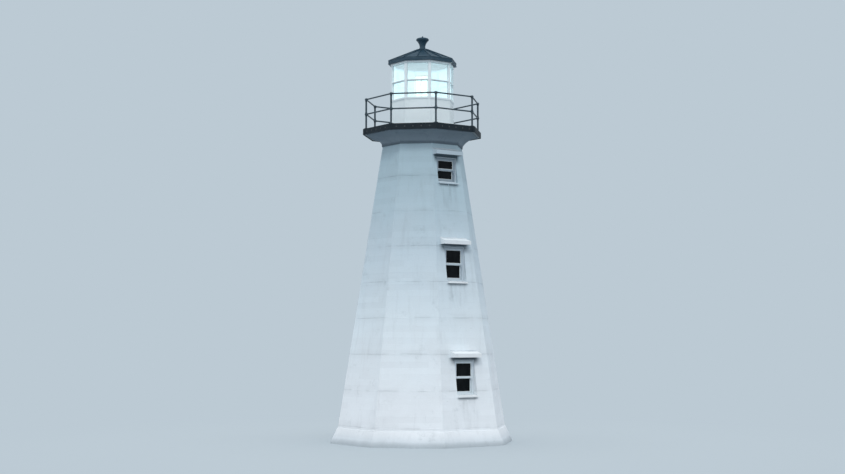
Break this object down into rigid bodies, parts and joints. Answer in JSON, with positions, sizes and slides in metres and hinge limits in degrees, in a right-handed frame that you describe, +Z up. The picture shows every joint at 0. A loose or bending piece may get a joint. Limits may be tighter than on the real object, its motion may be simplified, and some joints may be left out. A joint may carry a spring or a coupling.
{
  "type": "lighthouse",
  "caption": "White octagonal concrete lighthouse with battered walls, hooded sash windows, a coved and railed gallery, and a glazed lantern under a low pyramid roof with a ventilator.",
  "frame": {"origin": "on the ground at the middle of the tower's plan", "axes": "+Z up; the blank front face looks along -Y, the window face is 45 degrees round from it towards +X, and the door face is opposite the window face"},
  "size_m": [4.5, 4.5, 10.698],
  "materials": {
    "painted_concrete": "weathered white masonry paint on board-marked concrete",
    "bare_concrete": "trowelled grey concrete",
    "edge_steel": "dark slate paint, weathered",
    "rail_steel": "dark slate paint on pipe",
    "lantern_iron": "white gloss paint on iron",
    "roof_metal": "dark slate paint on sheet metal",
    "window_timber": "white painted timber",
    "window_glass": "window glass against a dark room",
    "lantern_glass": "clear plate glass",
    "door_timber": "dark slate painted timber",
    "door_brass": "dull brass",
    "lens_glass": "pressed prism glass",
    "lens_brass": "satin brass",
    "pedestal_iron": "painted cast iron"
  },
  "bodies": {
    "root": {"foundation_plinth": "painted_concrete", "gallery_cove": "painted_concrete", "window_hoods": "painted_concrete", "window_sills": "painted_concrete", "door_surround": "painted_concrete", "front_wall": "painted_concrete", "front_right_wall": "painted_concrete", "right_wall": "painted_concrete", "back_right_wall": "painted_concrete", "back_wall": "painted_concrete", "back_left_wall": "painted_concrete", "left_wall": "painted_concrete", "front_left_wall": "painted_concrete", "ground_floor": "bare_concrete", "middle_floor": "bare_concrete", "upper_floor": "bare_concrete", "gallery_deck": "bare_concrete", "gallery_edge_band": "edge_steel", "front_railing": "rail_steel", "front_right_railing": "rail_steel", "right_railing": "rail_steel", "back_right_railing": "rail_steel", "back_railing": "rail_steel", "back_left_railing": "rail_steel", "left_railing": "rail_steel", "front_left_railing": "rail_steel", "lantern_wall": "lantern_iron", "lantern_access_door": "lantern_iron", "glazing_frame": "lantern_iron", "lantern_eave": "roof_metal", "lantern_roof": "roof_metal", "ventilator": "roof_metal", "lower_window_frame": "window_timber", "middle_window_frame": "window_timber", "upper_window_frame": "window_timber", "back_window_frames": "window_timber", "window_sashes": "window_timber", "window_glass": "window_glass", "lantern_glass": "lantern_glass", "door_frame": "door_timber", "door_leaf": "door_timber", "door_fittings": "door_brass", "drum_lens": "lens_glass", "lens_frame": "lens_brass", "optic_pedestal": "pedestal_iron"}
  },
  "joints": []
}
